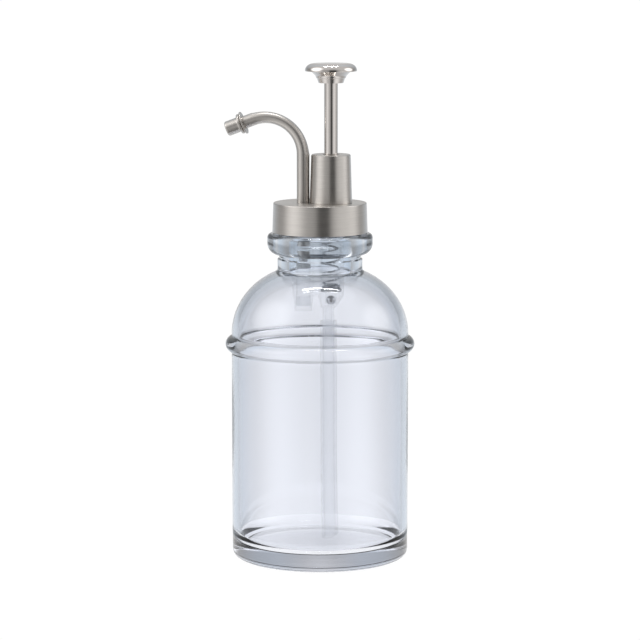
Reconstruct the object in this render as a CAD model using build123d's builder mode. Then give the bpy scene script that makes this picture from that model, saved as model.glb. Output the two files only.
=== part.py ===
"""Countertop soap pump dispenser: glass bottle, screw lid, fixed spout and push-button piston pump.

Frame: millimetres, +Z up, origin at the centre of the bottle's base. The spout points along -X.
The bottle and the lid stand on the Z axis. The pump barrel, tower, rod and button share a second
upright axis at x = pump_x, and the outlet barrel and spout riser a third one at x = outlet_x.
"""

from build123d import *
import math
import os

# ---------------------------------------------------------------- driving dimensions: bottle
body_radius = 36.0            # outside of the straight glass body
body_wall = 2.8               # glass thickness of body and shoulder
floor_thickness = 6.5         # heavy glass base
base_edge = 3.3               # rounding of the foot
floor_edge = 5.0              # rounding where the floor meets the inner wall
bead_level = 87.9             # mid height of the moulded bead
bead_half_height = 3.0
bead_proud = 2.5              # how far the bead stands out of the body
shoulder_start = 4.3          # from the middle of the bead up to the dome
shoulder_rise = 28.1          # vertical semi-axis of the dome's quarter ellipse
shoulder_centre = 4.2         # distance of the ellipse's centre from the Z axis
neck_wall = 4.55              # glass between the mouth and the outside of the neck
neck_foot_edge = 1.5          # rounding where the neck meets the dome
neck_height = 5.3             # plain neck above the dome
groove_depth = 0.7            # small groove between neck and collar
groove_bevel = 0.5            # height of the slope from the neck into the groove
groove_height = 1.3
collar_proud = 2.05           # how far the collar stands out under the lid
collar_height = 8.7
collar_top_edge = 1.8         # rounding of the collar's top edge
collar_low_edge = 4.6         # rounding of the collar's lower edge

# ---------------------------------------------------------------- driving dimensions: screw finish
mouth_clearance = 1.2         # from the pump housing to the mouth of the bottle
finish_wall = 2.3             # glass between mouth and thread root
finish_height = 7.9           # collar top to rim
rim_edge = 0.5                # bevel of the rim
thread_pitch = 4.2
thread_depth = 1.2
thread_root_width = 2.2
thread_crest_width = 0.9
thread_turns = 1.0
liner_thread_turns = 0.9      # the liner's own rib
thread_clearance = 0.35       # radial, between the two screw threads

# ---------------------------------------------------------------- driving dimensions: lid
insert_wall = 1.95            # threaded liner, outside its thread
insert_disc = 1.3             # top disc of the liner
lid_wall = 0.8                # metal skin
lid_draft = 0.4               # the lid is this much smaller in radius at its top
lid_top_edge = 0.35
lid_gap = 0.3                 # daylight between collar and lid
liner_recess = 0.4            # the liner ends this far above the lid's lower edge
gasket_thickness = 1.0
gasket_play = 0.3             # the gasket's hole is this much wider than the mouth
lock_ring_thickness = 0.5
tower_ring_width = 0.8
spout_ring_width = 0.6
ring_recess_play = 0.1        # room round the two push-on rings

# ---------------------------------------------------------------- driving dimensions: tower and rod
pump_x = 4.46                 # axis of barrel, tower, rod and button
tower_wall = 2.2              # at the tower's foot
tower_draft = 0.6             # the tower is this much smaller in radius at its top
tower_height = 19.6
bush_wall = 1.1               # of the bush's skirt round the barrel
tower_top_wall = 1.3
tower_top_edge = 0.4
spigot_wall = 0.8             # of the tower's spigot through the lid
rod_radius = 2.8
rod_tail_radius = 1.75
rod_tail_end = 1.0            # the rod's tail ends this far above the piston's foot
rod_end_bevel = 0.3
stroke = 22.0                 # travel of rod and button
button_clearance = 6.8        # tower top to button, with the rod pressed right down
bush_skirt = 6.0              # how far the bush reaches down round the barrel
bush_nose_wall = 0.45
bush_nose_recess = 0.35       # the bush's nose lies this far under the tower's top
wiper_radius = 0.7            # section of the wiper ring
wiper_room = 0.15             # room round the wiper ring in its groove
wiper_height = 2.6            # wiper ring above the barrel's top

# ---------------------------------------------------------------- driving dimensions: button
button_radius = 10.5
button_height = 8.0
button_rim_drop = 3.1         # top of the crown to the sharp lower rim
button_hub_radius = 5.05
button_bead_radius = 6.05
button_bead_level = 2.2       # top of the hub's bead above the button's foot
button_bead_step = 0.4        # size of the bead's edge
button_rim_edge = 0.2         # thickness of the sharp rim
bell_width = 1.9              # how far the bell under the rim flares out
bell_height = 2.3
bell_sag = 0.4                # how hollow the bell is
crown_width = 3.6             # width of the crown's rounding
crown_dome = 0.15             # how much the top bulges
button_socket = 4.6           # how deep the rod goes in

# ---------------------------------------------------------------- driving dimensions: spout
spout_gap = 0.15              # daylight between the tower's foot and the spout
spout_radius = 2.6
spout_wall = 0.65
spout_riser = 19.5            # lid top to the start of the bend
spout_bend_radius = 15.0
spout_bend_angle = 111.0
spout_tail = 9.2              # straight end of the tube, inside the nozzle
nozzle_start = 5.0            # from the end of the bend to the nozzle's flange
nozzle_wall = 0.4             # round the tube inside it
nozzle_flange_proud = 1.1     # how far its flange stands out
nozzle_flange_width = 1.1
nozzle_length = 6.7           # flange and tip together
nozzle_tip_edge = 0.6
nozzle_flange_edge = 0.3
ferrule_width = 0.6
ferrule_gap = 0.4             # from the ferrule to the nozzle's flange
ferrule_rim = 2.0             # radial width of the ferrule
spout_ring_section = 0.6      # section radius of the spout's O-ring

# ---------------------------------------------------------------- driving dimensions: pump
barrel_bore = 4.3
barrel_wall = 1.0
barrel_above_lid = 10.4       # barrel top above the lid's top
flange_thickness = 1.4        # housing flange between rim gasket and liner
flange_lap = 0.3              # the housing's flange reaches this far past the thread root
outlet_play = 1.1             # radial room of the outlet ball in its bore
outlet_wall = 1.6
foot_wall = 1.3               # wall round the inlet ball's pocket
foot_cone = 5.0               # height of the barrel's tapered foot
foot_drop = 1.6               # the foot's end below the inlet ball's seat
foot_step = 0.5               # the foot's end is this much slimmer than the pocket's wall
seat_floor = 0.65             # bottom of the seat's hole above the foot's end
outlet_cone = 6.5             # height of the outlet barrel's tapered foot
outlet_taper = 1.0            # the outlet barrel's foot is this much smaller in radius
outlet_drop = 1.0             # its end below the inlet ball's seat
foot_offset = 1.0             # the dip tube's spigot is set this much towards the bottle's axis
ball_radius = 1.9
ball_play = 0.4               # radial room of the inlet ball in its pocket
ball_lift = 1.5
ball_seat_gap = 0.08
seat_radius = 1.35
port_radius = 1.1             # cross port from chamber to outlet barrel
port_height = 3.4             # port's axis above the chamber floor
web_thickness = 3.2
spigot_radius = 2.4
spigot_bore = 1.5
spigot_length = 15.5
tube_wall = 0.95
tube_start = 5.4              # bare spigot between the foot and the dip tube's end
tube_floor_gap = 1.2
tube_slant = 2.0              # how much the cut end of the dip tube slopes
tube_drift = 0.7              # how far the hanging tube curls aside
tube_cut_margin = 1.0         # the slanted cut reaches this far past the tube
cage_disc = 1.2
cage_holes = 3
cage_hole_radius = 0.68
cage_hole_circle = 1.3        # radius of the circle that the holes lie on
cage_boss_height = 2.0
cage_boss_wall = 0.7
plug_flange = 2.0
plug_depth = 4.0
plug_wall = 0.85
outlet_room = 9.5             # chamber floor up to the outlet valve's seat ring
outlet_seat_height = 2.0
spout_stop = 1.0              # the spout ends this far above the step in the outlet bore

# ---------------------------------------------------------------- driving dimensions: piston and spring
piston_length = 7.0
piston_disc = 1.5
piston_play = 0.1             # radial room of the piston's discs in the barrel
seal_width = 1.4              # radial width of the cup seal
piston_boss = 2.5             # spigot that centres the spring
seal_lip = 0.35               # thickness of the cup seal's lip
seal_heel = 0.5               # thickness of its inner wall
seal_cup = 1.6                # depth of the cup
spring_wire = 0.7             # diameter
spring_side_gap = 0.6         # between the coils and the barrel
spring_play = 0.2             # room between the coils and what centres them
spring_coils = 10
spring_closed = 16.2          # length of the spring with the rod pressed right down

# ---------------------------------------------------------------- clearances
fit = 0.05                    # radial, for a part seated in another
running = 0.05                # radial, for a part that slides or turns in another
seat_gap = 0.1                # axial, between parts that are stacked in the pump

# ---------------------------------------------------------------- levels and radii that follow
barrel_radius = barrel_bore + barrel_wall
tower_bore = barrel_radius + bush_wall
tower_spigot = tower_bore + spigot_wall
tower_foot_radius = tower_bore + tower_wall
tower_top_radius = tower_foot_radius - tower_draft
outlet_x = pump_x - tower_foot_radius - spout_gap - spout_radius
outlet_bore = ball_radius + outlet_play
outlet_radius = outlet_bore + outlet_wall
outlet_foot_radius = outlet_radius - outlet_taper

bore_radius = max(pump_x + barrel_radius, outlet_radius - outlet_x) + mouth_clearance
thread_root = bore_radius + finish_wall
thread_crest = thread_root + thread_depth
liner_bore = thread_crest + thread_clearance
liner_radius = liner_bore + insert_wall
lid_radius = liner_radius + fit + lid_wall
collar_radius = lid_radius + collar_proud
flange_radius = thread_root + flange_lap
neck_radius = bore_radius + neck_wall
groove_radius = neck_radius - groove_depth

inner_radius = body_radius - body_wall
shoulder_level = bead_level + shoulder_start
dome_width = body_radius - shoulder_centre
dome_turn = math.degrees(math.acos((neck_radius - shoulder_centre) / dome_width))
neck_level = shoulder_level + shoulder_rise * math.sin(math.radians(dome_turn))
groove_level = neck_level + neck_height
collar_level = groove_level + groove_height
collar_top = collar_level + collar_height
rim_level = collar_top + finish_height
thread_low = collar_top + (finish_height - thread_pitch * thread_turns) / 2

lid_low = collar_top + lid_gap
flange_low = rim_level + gasket_thickness
flange_top = flange_low + flange_thickness
liner_top = flange_top + insert_disc
lid_top = liner_top + lid_wall

tower_top = lid_top + tower_height
rod_level = tower_top + stroke + button_clearance
ring_level = liner_top - lock_ring_thickness
barrel_top = lid_top + barrel_above_lid
piston_waist = barrel_bore - seal_width
piston_radius = barrel_bore - piston_play
piston_top = barrel_top - fit
piston_low = piston_top - piston_length
spring_top = piston_low - seat_gap
spring_low = spring_top - stroke - spring_closed
spring_radius = barrel_bore - spring_side_gap - spring_wire / 2
spring_core = spring_radius - spring_wire / 2 - spring_play
chamber_floor = spring_low - cage_disc
pocket_radius = ball_radius + ball_play
ball_seat_height = math.sqrt(ball_radius**2 - seat_radius**2) + ball_seat_gap
inlet_ball_level = chamber_floor - seat_gap - ball_lift - ball_radius
pocket_floor = inlet_ball_level - ball_seat_height
foot_radius = pocket_radius + foot_wall
foot_low = pocket_floor - foot_drop
foot_x = pump_x - foot_offset
outlet_low = pocket_floor - outlet_drop
outlet_seat_low = chamber_floor + outlet_room
outlet_seat_top = outlet_seat_low + outlet_seat_height
outlet_ball_level = outlet_seat_top + ball_seat_height
outlet_cage_low = outlet_ball_level + ball_radius + ball_lift + seat_gap
outlet_step = outlet_cage_low + cage_disc + seat_gap
spout_socket = spout_radius + fit
nozzle_mouth_radius = spout_radius - spout_wall
nozzle_radius = spout_socket + nozzle_wall
nozzle_flange_radius = nozzle_radius + nozzle_flange_proud
ferrule_radius = spout_socket + ferrule_rim
spout_low = outlet_step + spout_stop


def upright(x):
    """The XZ plane moved along X, for profiles that are revolved about an upright axis."""
    return Plane(origin=(x, 0, 0), x_dir=(1, 0, 0), z_dir=(0, -1, 0))


def upright_axis(x):
    """The upright axis at the given x."""
    return Axis((x, 0, 0), (0, 0, 1))


def finish(block, name):
    """Label one finished piece and write it."""
    block.part.label = name
    export_step(block.part, f"parts/{name}.step")


os.makedirs("parts", exist_ok=True)

# ================================================================ bottle
inner_shoulder = shoulder_rise - body_wall
inner_dome_width = dome_width - body_wall
mouth_turn = math.degrees(math.acos((bore_radius - shoulder_centre) / inner_dome_width))
mouth_level = shoulder_level + inner_shoulder * math.sin(math.radians(mouth_turn))

with BuildPart() as bottle:
    with BuildSketch(Plane.XZ):
        with BuildLine():
            Line((0, 0), (body_radius - base_edge, 0))
            TangentArc((body_radius - base_edge, 0), (body_radius, base_edge), tangent=(1, 0))
            Line((body_radius, base_edge), (body_radius, bead_level - bead_half_height))
            ThreePointArc(
                (body_radius, bead_level - bead_half_height),
                (body_radius + bead_proud, bead_level),
                (body_radius, bead_level + bead_half_height),
            )
            Line((body_radius, bead_level + bead_half_height), (body_radius, shoulder_level))
            EllipticalCenterArc(
                (shoulder_centre, shoulder_level), dome_width, shoulder_rise, arc_size=dome_turn
            )
            Polyline(
                (neck_radius, neck_level),
                (neck_radius, groove_level - groove_bevel),
                (groove_radius, groove_level),
                (groove_radius, collar_level),
                (collar_radius - collar_low_edge, collar_level),
            )
            TangentArc(
                (collar_radius - collar_low_edge, collar_level),
                (collar_radius, collar_level + collar_low_edge),
                tangent=(1, 0),
            )
            Line(
                (collar_radius, collar_level + collar_low_edge),
                (collar_radius, collar_top - collar_top_edge),
            )
            TangentArc(
                (collar_radius, collar_top - collar_top_edge),
                (collar_radius - collar_top_edge, collar_top),
                tangent=(0, 1),
            )
            Polyline(
                (collar_radius - collar_top_edge, collar_top),
                (thread_root, collar_top),
                (thread_root, rim_level - rim_edge),
                (thread_root - rim_edge, rim_level),
                (bore_radius + rim_edge, rim_level),
                (bore_radius, rim_level - rim_edge),
                (bore_radius, mouth_level),
            )
            EllipticalCenterArc(
                (shoulder_centre, shoulder_level), inner_dome_width, inner_shoulder, arc_size=mouth_turn
            )
            Line((inner_radius, shoulder_level), (inner_radius, floor_thickness + floor_edge))
            TangentArc(
                (inner_radius, floor_thickness + floor_edge),
                (inner_radius - floor_edge, floor_thickness),
                tangent=(0, -1),
            )
            Polyline((inner_radius - floor_edge, floor_thickness), (0, floor_thickness), (0, 0))
        make_face()
    revolve(axis=Axis.Z)
    neck_foot = bottle.edges().filter_by_position(Axis.Z, neck_level - fit, neck_level + fit)
    fillet(neck_foot, neck_foot_edge)
    # The screw thread is one turn of a tapered rib round the finish.
    with BuildLine():
        rib_path = Helix(
            pitch=thread_pitch,
            height=thread_pitch * thread_turns,
            radius=thread_root,
            center=(0, 0, thread_low),
        )
    with BuildSketch(Plane(origin=rib_path @ 0, x_dir=(1, 0, 0), z_dir=rib_path % 0)):
        Polygon(
            (-fit, -thread_root_width / 2),
            (thread_depth, -thread_crest_width / 2),
            (thread_depth, thread_crest_width / 2),
            (-fit, thread_root_width / 2),
            align=None,
        )
    sweep(path=rib_path, is_frenet=True)
finish(bottle, "bottle")

# ================================================================ rim gasket
with BuildPart() as rim_gasket:
    with BuildSketch(Plane.XY.offset(rim_level)):
        Circle(thread_root)
        Circle(bore_radius + gasket_play, mode=Mode.SUBTRACT)
    extrude(amount=gasket_thickness)
finish(rim_gasket, "rim_gasket")

# ================================================================ lid skin
with BuildPart() as cap_shell:
    with BuildSketch(Plane.XZ):
        Polygon(
            (0, lid_top),
            (lid_radius - lid_draft, lid_top),
            (lid_radius, lid_low),
            (lid_radius - lid_wall, lid_low),
            (lid_radius - lid_wall - lid_draft, liner_top),
            (0, liner_top),
            align=None,
        )
    revolve(axis=Axis.Z)
    fillet(cap_shell.edges().group_by(Axis.Z)[-1], lid_top_edge)
    with BuildSketch(Plane.XY.offset(liner_top)):
        with Locations((pump_x, 0)):
            Circle(tower_spigot + fit)
        with Locations((outlet_x, 0)):
            Circle(spout_socket)
    extrude(amount=lid_wall, mode=Mode.SUBTRACT)
finish(cap_shell, "cap_shell")

# ================================================================ threaded liner of the lid
liner_low = lid_low + liner_recess
draft_at_liner_low = lid_draft * (liner_low - lid_low) / (liner_top - lid_low)
with BuildPart() as cap_insert:
    with BuildSketch(Plane.XZ):
        Polygon(
            (0, liner_top),
            (liner_radius - lid_draft, liner_top),
            (liner_radius - draft_at_liner_low, liner_low),
            (liner_bore, liner_low),
            (liner_bore, flange_top),
            (0, flange_top),
            align=None,
        )
    revolve(axis=Axis.Z)
    with BuildSketch(Plane.XY.offset(flange_top)):
        with Locations((pump_x, 0)):
            Circle(tower_spigot + fit)
        with Locations((outlet_x, 0)):
            Circle(spout_socket)
    extrude(amount=insert_disc, mode=Mode.SUBTRACT)
    # Recess under the lid's top for the two push-on rings.
    with BuildSketch(Plane.XY.offset(ring_level - seat_gap)):
        with Locations((pump_x, 0)):
            Circle(tower_spigot + tower_ring_width + ring_recess_play)
        with Locations((outlet_x, 0)):
            Circle(spout_socket + spout_ring_width + ring_recess_play)
    extrude(amount=lock_ring_thickness + seat_gap, mode=Mode.SUBTRACT)
    # The liner's rib starts half a turn on and runs half a pitch under the bottle's.
    with BuildLine():
        groove_path = Helix(
            pitch=thread_pitch,
            height=thread_pitch * liner_thread_turns,
            radius=liner_bore,
            center=(0, 0, 0),
        )
    with BuildSketch(Plane(origin=groove_path @ 0, x_dir=(1, 0, 0), z_dir=groove_path % 0)):
        Polygon(
            (fit, -thread_root_width / 2),
            (-thread_depth, -thread_crest_width / 2),
            (-thread_depth, thread_crest_width / 2),
            (fit, thread_root_width / 2),
            align=None,
        )
    with Locations(Location((0, 0, thread_low), (0, 0, 180))):
        add(sweep(path=groove_path, is_frenet=True, mode=Mode.PRIVATE))
finish(cap_insert, "cap_insert")

# ================================================================ tower and its push-on ring
with BuildPart() as tower_sleeve:
    with BuildSketch(upright(pump_x)):
        Polygon(
            (tower_bore, lid_top - lid_wall - lock_ring_thickness),
            (tower_spigot, lid_top - lid_wall - lock_ring_thickness),
            (tower_spigot, lid_top),
            (tower_foot_radius, lid_top),
            (tower_top_radius, tower_top),
            (rod_radius + running + bush_nose_wall + fit, tower_top),
            (rod_radius + running + bush_nose_wall + fit, tower_top - tower_top_wall),
            (tower_bore, tower_top - tower_top_wall),
            align=None,
        )
    revolve(axis=upright_axis(pump_x))
    chamfer(tower_sleeve.edges().group_by(Axis.Z)[-1].sort_by(SortBy.RADIUS)[-1], tower_top_edge)
finish(tower_sleeve, "tower_sleeve")

with BuildPart() as tower_lock_ring:
    with BuildSketch(Plane.XY.offset(ring_level)):
        with Locations((pump_x, 0)):
            Circle(tower_spigot + tower_ring_width)
            Circle(tower_spigot, mode=Mode.SUBTRACT)
    extrude(amount=lock_ring_thickness)
finish(tower_lock_ring, "tower_lock_ring")

# ================================================================ rod bush and wiper
bush_radius = tower_bore - fit
bush_top = tower_top - tower_top_wall
wiper_level = barrel_top + wiper_height
with BuildPart() as guide_bush:
    with BuildSketch(upright(pump_x)):
        Polygon(
            (rod_radius + running, barrel_top),
            (barrel_radius + fit, barrel_top),
            (barrel_radius + fit, barrel_top - bush_skirt),
            (bush_radius, barrel_top - bush_skirt),
            (bush_radius, bush_top),
            (rod_radius + running + bush_nose_wall, bush_top),
            (rod_radius + running + bush_nose_wall, tower_top - bush_nose_recess),
            (rod_radius + running, tower_top - bush_nose_recess),
            align=None,
        )
    revolve(axis=upright_axis(pump_x))
    with BuildSketch(upright(pump_x)):
        with Locations((rod_radius + wiper_radius, wiper_level)):
            Rectangle(2 * (wiper_radius + wiper_room), 2 * (wiper_radius + wiper_room))
    revolve(axis=upright_axis(pump_x), mode=Mode.SUBTRACT)
finish(guide_bush, "guide_bush")

with BuildPart() as rod_wiper:
    with BuildSketch(upright(pump_x)):
        with Locations((rod_radius + running + wiper_radius, wiper_level)):
            Circle(wiper_radius)
    revolve(axis=upright_axis(pump_x))
finish(rod_wiper, "rod_wiper")

# ================================================================ plunger rod
with BuildPart() as plunger_rod:
    with BuildSketch(upright(pump_x)):
        Polygon(
            (0, piston_low + rod_tail_end),
            (rod_tail_radius, piston_low + rod_tail_end),
            (rod_tail_radius, piston_top),
            (rod_radius, piston_top),
            (rod_radius, rod_level + button_socket - rod_end_bevel),
            (rod_radius - rod_end_bevel, rod_level + button_socket),
            (0, rod_level + button_socket),
            align=None,
        )
    revolve(axis=upright_axis(pump_x))
finish(plunger_rod, "plunger_rod")

# ================================================================ button
button_top = rod_level + button_height
button_rim_level = button_top - button_rim_drop
button_socket_top = rod_level + button_socket + seat_gap
bead_top = rod_level + button_bead_level
bell_radius = button_bead_radius + bell_width
bell_top = bead_top + bell_height
crown_radius = button_radius - crown_width
crown_sphere = (crown_radius**2 + crown_dome**2) / (2 * crown_dome)
crown_turn = math.degrees(math.asin(crown_radius / crown_sphere))
with BuildPart() as button:
    with BuildSketch(upright(pump_x)):
        with BuildLine():
            Polyline(
                (0, button_top),
                (0, button_socket_top),
                (rod_radius + fit, button_socket_top),
                (rod_radius + fit, rod_level),
                (button_hub_radius, rod_level),
                (button_bead_radius - button_bead_step, bead_top - button_bead_step),
                (button_bead_radius, bead_top),
            )
            ThreePointArc(
                (button_bead_radius, bead_top),
                (button_bead_radius + bell_width / 2 - bell_sag, bead_top + bell_height / 2 + bell_sag),
                (bell_radius, bell_top),
            )
            Polyline(
                (bell_radius, bell_top),
                (button_radius, button_rim_level - button_rim_edge),
                (button_radius, button_rim_level),
            )
            EllipticalCenterArc(
                (crown_radius, button_rim_level), crown_width, button_rim_drop - crown_dome, arc_size=90
            )
            CenterArc((0, button_top - crown_sphere), crown_sphere, 90 - crown_turn, crown_turn)
        make_face()
    revolve(axis=upright_axis(pump_x))
finish(button, "button")

# ================================================================ spout: tube, ferrule, nozzle, ring and seal
bend_start = lid_top + spout_riser
bend_centre_x = outlet_x - spout_bend_radius
nozzle_turn = math.radians(spout_bend_angle)
bend_end = (
    bend_centre_x + spout_bend_radius * math.cos(nozzle_turn),
    0,
    bend_start + spout_bend_radius * math.sin(nozzle_turn),
)
nozzle_direction = (-math.sin(nozzle_turn), 0, math.cos(nozzle_turn))
# Profiles on this plane run along the spout's straight end, with the radius across it.
nozzle_plane = Plane(origin=bend_end, x_dir=nozzle_direction, z_dir=(0, -1, 0))
nozzle_axis = Axis(bend_end, nozzle_direction)

with BuildPart() as spout_tube:
    with BuildLine(upright(0)):
        riser = Line((outlet_x, spout_low), (outlet_x, bend_start))
        bend = JernArc(start=riser @ 1, tangent=(0, 1), radius=spout_bend_radius, arc_size=spout_bend_angle)
        Line(bend @ 1, bend @ 1 + spout_tail * (bend % 1))
    with BuildSketch(Plane.XY.offset(spout_low)):
        with Locations((outlet_x, 0)):
            Circle(spout_radius)
            Circle(spout_radius - spout_wall, mode=Mode.SUBTRACT)
    sweep()
finish(spout_tube, "spout_tube")

ferrule_end = nozzle_start - ferrule_gap
with BuildPart() as spout_ferrule:
    with BuildSketch(nozzle_plane):
        Polygon(
            (ferrule_end - ferrule_width, spout_socket),
            (ferrule_end, spout_socket),
            (ferrule_end, ferrule_radius),
            (ferrule_end - ferrule_width, ferrule_radius),
            align=None,
        )
    revolve(axis=nozzle_axis)
finish(spout_ferrule, "spout_ferrule")

flange_end = nozzle_start + nozzle_flange_width
nozzle_end = nozzle_start + nozzle_length
socket_end = spout_tail + seat_gap
with BuildPart() as spout_nozzle:
    with BuildSketch(nozzle_plane):
        with BuildLine():
            Polyline(
                (nozzle_end, nozzle_radius - nozzle_tip_edge),
                (nozzle_end, nozzle_mouth_radius),
                (socket_end, nozzle_mouth_radius),
                (socket_end, spout_socket),
                (nozzle_start, spout_socket),
                (nozzle_start, nozzle_flange_radius - nozzle_flange_edge),
                (nozzle_start + nozzle_flange_edge, nozzle_flange_radius),
                (flange_end - nozzle_flange_edge, nozzle_flange_radius),
                (flange_end, nozzle_flange_radius - nozzle_flange_edge),
                (flange_end, nozzle_radius),
                (nozzle_end - nozzle_tip_edge, nozzle_radius),
            )
            TangentArc(
                (nozzle_end - nozzle_tip_edge, nozzle_radius),
                (nozzle_end, nozzle_radius - nozzle_tip_edge),
                tangent=(1, 0),
            )
        make_face()
    revolve(axis=nozzle_axis)
finish(spout_nozzle, "spout_nozzle")

with BuildPart() as spout_lock_ring:
    with BuildSketch(Plane.XY.offset(ring_level)):
        with Locations((outlet_x, 0)):
            Circle(spout_socket + spout_ring_width)
            Circle(spout_radius, mode=Mode.SUBTRACT)
    extrude(amount=lock_ring_thickness)
finish(spout_lock_ring, "spout_lock_ring")

spout_ring_radius = spout_socket + spout_ring_section
spout_ring_level = flange_top - fit - spout_ring_section
spout_seal_radius = spout_ring_radius + spout_ring_section + fit
spout_seal_floor = spout_ring_level - spout_ring_section - fit
with BuildPart() as spout_o_ring:
    with BuildSketch(upright(outlet_x)):
        with Locations((spout_ring_radius, spout_ring_level)):
            Circle(spout_ring_section)
    revolve(axis=upright_axis(outlet_x))
finish(spout_o_ring, "spout_o_ring")

# ================================================================ pump housing
with BuildPart() as pump_housing:
    with BuildSketch(Plane.XY.offset(flange_low)):
        Circle(flange_radius)
    extrude(amount=flange_thickness)
    # pump barrel with its tapered foot and the dip tube's spigot
    with BuildSketch(Plane.XY.offset(foot_low + foot_cone)):
        with Locations((pump_x, 0)):
            Circle(barrel_radius)
    extrude(amount=barrel_top - foot_low - foot_cone)
    with BuildSketch(Plane.XY.offset(foot_low)):
        with Locations((foot_x, 0)):
            Circle(foot_radius - foot_step)
    with BuildSketch(Plane.XY.offset(foot_low + foot_cone)):
        with Locations((pump_x, 0)):
            Circle(barrel_radius)
    loft()
    with BuildSketch(Plane.XY.offset(foot_low)):
        with Locations((foot_x, 0)):
            Circle(spigot_radius)
    extrude(amount=-spigot_length)
    # outlet barrel with its tapered foot
    with BuildSketch(upright(outlet_x)):
        Polygon(
            (0, outlet_low),
            (outlet_foot_radius, outlet_low),
            (outlet_radius, outlet_low + outlet_cone),
            (outlet_radius, flange_low),
            (0, flange_low),
            align=None,
        )
    revolve(axis=upright_axis(outlet_x))
    # web between the two barrels
    with BuildSketch(Plane.XY.offset(foot_low + foot_cone)):
        with Locations(((pump_x + outlet_x) / 2, 0)):
            Rectangle(pump_x - outlet_x, web_thickness)
    extrude(amount=flange_low - foot_low - foot_cone)
    # chamber, ball pocket, seat and spigot bore
    with BuildSketch(upright(pump_x)):
        Polygon(
            (0, foot_low + seat_floor),
            (seat_radius, foot_low + seat_floor),
            (seat_radius, pocket_floor),
            (pocket_radius, pocket_floor),
            (pocket_radius, chamber_floor),
            (barrel_bore, chamber_floor),
            (barrel_bore, barrel_top),
            (0, barrel_top),
            align=None,
        )
    revolve(axis=upright_axis(pump_x), mode=Mode.SUBTRACT)
    with BuildSketch(Plane.XY.offset(foot_low + seat_floor + seat_gap)):
        with Locations((foot_x, 0)):
            Circle(spigot_bore)
    extrude(amount=-spigot_length - seat_floor - seat_gap, mode=Mode.SUBTRACT)
    # outlet bore, spout socket and seal recess
    with BuildSketch(upright(outlet_x)):
        Polygon(
            (0, outlet_low),
            (outlet_bore, outlet_low),
            (outlet_bore, outlet_step),
            (spout_socket, outlet_step),
            (spout_socket, spout_seal_floor),
            (spout_seal_radius, spout_seal_floor),
            (spout_seal_radius, flange_top),
            (0, flange_top),
            align=None,
        )
    revolve(axis=upright_axis(outlet_x), mode=Mode.SUBTRACT)
    # cross port from the chamber to the outlet barrel
    with BuildSketch(Plane(origin=(pump_x, 0, chamber_floor + port_height), z_dir=(-1, 0, 0))):
        Circle(port_radius)
    extrude(amount=pump_x - outlet_x, mode=Mode.SUBTRACT)
finish(pump_housing, "pump_housing")

# ================================================================ valves
with BuildPart() as inlet_cage:
    with BuildSketch(Plane.XY.offset(chamber_floor)):
        with Locations((pump_x, 0)):
            Circle(barrel_bore - fit)
    extrude(amount=cage_disc)
    with BuildSketch(Plane.XY.offset(spring_low)):
        with Locations((pump_x, 0)):
            Circle(spring_core)
            Circle(spring_core - cage_boss_wall, mode=Mode.SUBTRACT)
    extrude(amount=cage_boss_height)
    with BuildSketch(Plane.XY.offset(chamber_floor)):
        with Locations((pump_x, 0)):
            with PolarLocations(cage_hole_circle, cage_holes):
                Circle(cage_hole_radius)
    extrude(amount=cage_disc, mode=Mode.SUBTRACT)
finish(inlet_cage, "inlet_cage")

with BuildPart() as inlet_ball:
    with Locations((pump_x, 0, inlet_ball_level)):
        Sphere(ball_radius)
finish(inlet_ball, "inlet_ball")

with BuildPart() as outlet_seat:
    with BuildSketch(Plane.XY.offset(outlet_seat_low)):
        with Locations((outlet_x, 0)):
            Circle(outlet_bore - fit)
            Circle(seat_radius, mode=Mode.SUBTRACT)
    extrude(amount=outlet_seat_height)
finish(outlet_seat, "outlet_seat")

with BuildPart() as outlet_ball:
    with Locations((outlet_x, 0, outlet_ball_level)):
        Sphere(ball_radius)
finish(outlet_ball, "outlet_ball")

with BuildPart() as outlet_cage:
    with BuildSketch(Plane.XY.offset(outlet_cage_low)):
        with Locations((outlet_x, 0)):
            Circle(outlet_bore - fit)
            with PolarLocations(cage_hole_circle, cage_holes):
                Circle(cage_hole_radius, mode=Mode.SUBTRACT)
    extrude(amount=cage_disc)
finish(outlet_cage, "outlet_cage")

with BuildPart() as outlet_plug:
    with BuildSketch(Plane.XY.offset(outlet_low - plug_flange)):
        with Locations((outlet_x, 0)):
            Circle(outlet_foot_radius)
    extrude(amount=plug_flange)
    with BuildSketch(Plane.XY.offset(outlet_low)):
        with Locations((outlet_x, 0)):
            Circle(outlet_bore - fit)
            Circle(outlet_bore - fit - plug_wall, mode=Mode.SUBTRACT)
    extrude(amount=plug_depth)
finish(outlet_plug, "outlet_plug")

# ================================================================ dip tube
tube_bore = spigot_radius + fit
tube_radius = tube_bore + tube_wall
tube_top = foot_low - tube_start
tube_straight_end = foot_low - spigot_length
tube_low = floor_thickness + tube_floor_gap
cut_reach = tube_radius + tube_cut_margin
with BuildPart() as dip_tube:
    with BuildLine(upright(0)):
        sleeve = Line((foot_x, tube_top), (foot_x, tube_straight_end))
        TangentArc(sleeve @ 1, (foot_x + tube_drift, tube_low), tangent=(0, -1))
    with BuildSketch(Plane.XY.offset(tube_top)):
        with Locations((foot_x, 0)):
            Circle(tube_radius)
            Circle(tube_bore, mode=Mode.SUBTRACT)
    sweep()
    # the lower end is cut on a slant, so that it can't seal against the floor
    with BuildSketch(upright(foot_x + tube_drift)):
        Polygon(
            (-cut_reach, tube_low - tube_slant),
            (cut_reach, tube_low - tube_slant),
            (cut_reach, tube_low + tube_slant),
            align=None,
        )
    extrude(amount=cut_reach, both=True, mode=Mode.SUBTRACT)
finish(dip_tube, "dip_tube")

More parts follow.
